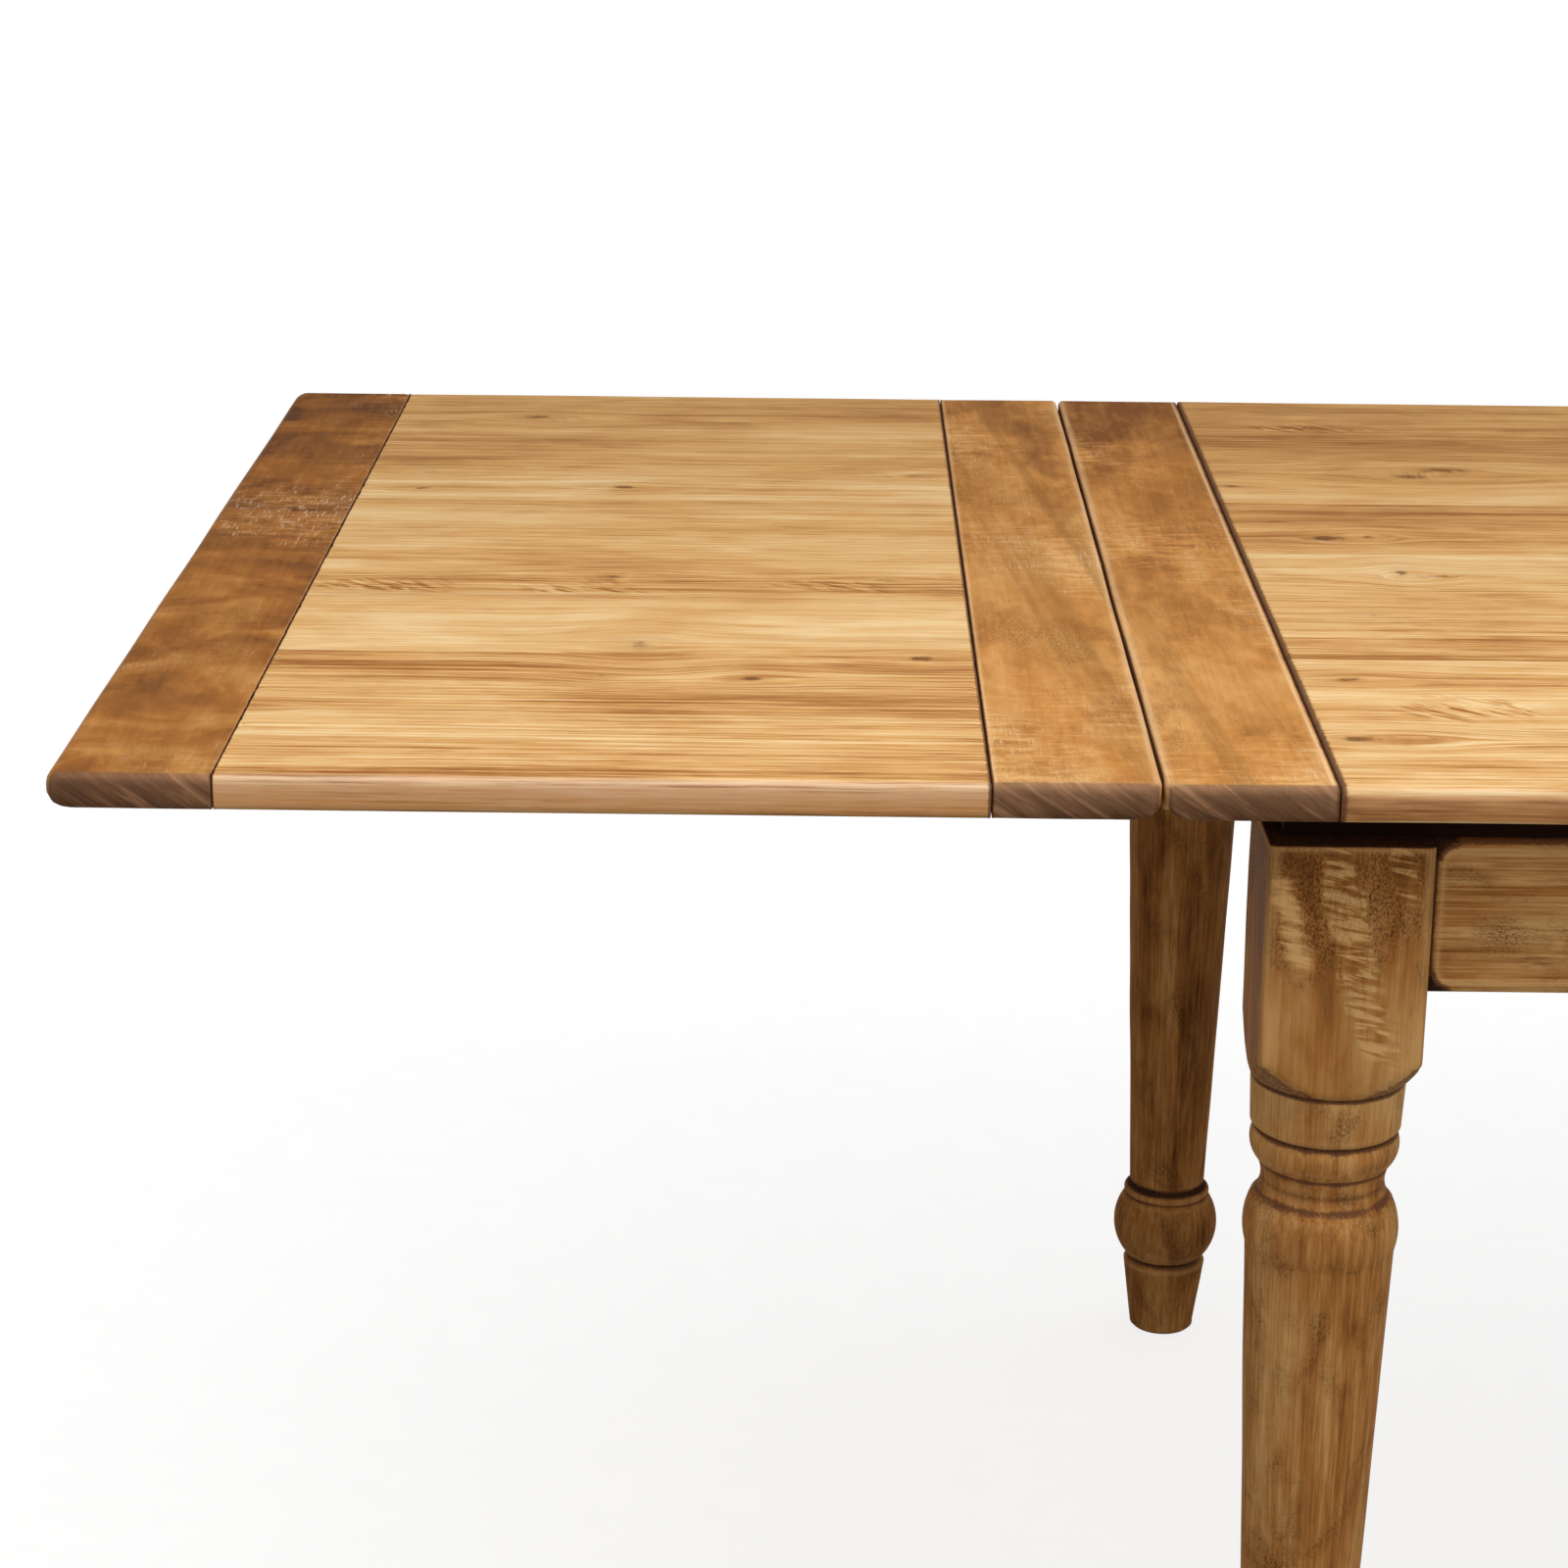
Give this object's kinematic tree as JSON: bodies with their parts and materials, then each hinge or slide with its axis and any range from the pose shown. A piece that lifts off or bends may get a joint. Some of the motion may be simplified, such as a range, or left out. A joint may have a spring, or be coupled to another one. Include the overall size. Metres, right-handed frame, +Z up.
{
  "type": "extending dining table",
  "caption": "Rustic pine dining table on turned legs, with breadboard ends and a loose leaf at each end that rests on pull-out runners.",
  "frame": {"origin": "on the floor, under the centre of the table", "axes": "+X along the table's length, +Y across it to the back, +Z up"},
  "size_m": [2.714, 1, 0.77],
  "materials": {
    "boards": "waxed golden pine",
    "breadboard_ends": "waxed orange-brown pine",
    "dark_breadboard_ends": "waxed blotched brown pine",
    "frame": "waxed mottled pine",
    "inner_timber": "planed pine",
    "dowels": "plain hardwood",
    "screws": "plated"
  },
  "bodies": {
    "frame": {"main_board_1": "boards", "main_board_2": "boards", "main_board_3": "boards", "main_board_4": "boards", "main_board_5": "boards", "main_board_6": "boards", "main_board_7": "boards", "main_board_8": "boards", "main_end_left": "breadboard_ends", "main_end_right": "breadboard_ends", "leg_front_left": "frame", "leg_front_right": "frame", "leg_back_right": "frame", "leg_back_left": "frame", "apron_front": "frame", "apron_back": "frame", "apron_left": "frame", "apron_right": "frame", "cross_rail_left": "inner_timber", "cross_rail_right": "inner_timber", "bearer_front": "inner_timber", "bearer_back": "inner_timber", "guide_front_outer": "inner_timber", "guide_back_outer": "inner_timber", "guide_front_inner": "inner_timber", "guide_back_inner": "inner_timber", "guide_screws": "screws", "bearer_screws": "screws", "top_screws": "screws"},
    "left_leaf": {"left_leaf_board_1": "boards", "left_leaf_board_2": "boards", "left_leaf_board_3": "boards", "left_leaf_board_4": "boards", "left_leaf_board_5": "boards", "left_leaf_board_6": "boards", "left_leaf_board_7": "boards", "left_leaf_board_8": "boards", "left_leaf_outer_end": "dark_breadboard_ends", "left_leaf_inner_end": "breadboard_ends", "left_leaf_dowels": "dowels"},
    "right_leaf": {"right_leaf_board_1": "boards", "right_leaf_board_2": "boards", "right_leaf_board_3": "boards", "right_leaf_board_4": "boards", "right_leaf_board_5": "boards", "right_leaf_board_6": "boards", "right_leaf_board_7": "boards", "right_leaf_board_8": "boards", "right_leaf_outer_end": "dark_breadboard_ends", "right_leaf_inner_end": "breadboard_ends", "right_leaf_dowels": "dowels"},
    "left_runner_front": {"left_runner_front": "inner_timber", "left_runner_front_peg": "dowels"},
    "left_runner_back": {"left_runner_back": "inner_timber", "left_runner_back_peg": "dowels"},
    "right_runner_front": {"right_runner_front": "inner_timber", "right_runner_front_peg": "dowels"},
    "right_runner_back": {"right_runner_back": "inner_timber", "right_runner_back_peg": "dowels"}
  },
  "joints": [
    {"name": "left_leaf_pull_off", "type": "slide", "parent": "frame", "child": "left_leaf", "axis": [-1, 0, 0], "range_m": [0, 0.52]},
    {"name": "right_leaf_pull_off", "type": "slide", "parent": "frame", "child": "right_leaf", "axis": [1, 0, 0], "range_m": [0, 0.52]},
    {"name": "left_runner_front_slide", "type": "slide", "parent": "frame", "child": "left_runner_front", "axis": [1, 0, 0], "range_m": [0, 0.51]},
    {"name": "left_runner_back_slide", "type": "slide", "parent": "frame", "child": "left_runner_back", "axis": [1, 0, 0], "range_m": [0, 0.51]},
    {"name": "right_runner_front_slide", "type": "slide", "parent": "frame", "child": "right_runner_front", "axis": [-1, 0, 0], "range_m": [0, 0.51]},
    {"name": "right_runner_back_slide", "type": "slide", "parent": "frame", "child": "right_runner_back", "axis": [-1, 0, 0], "range_m": [0, 0.51]}
  ]
}
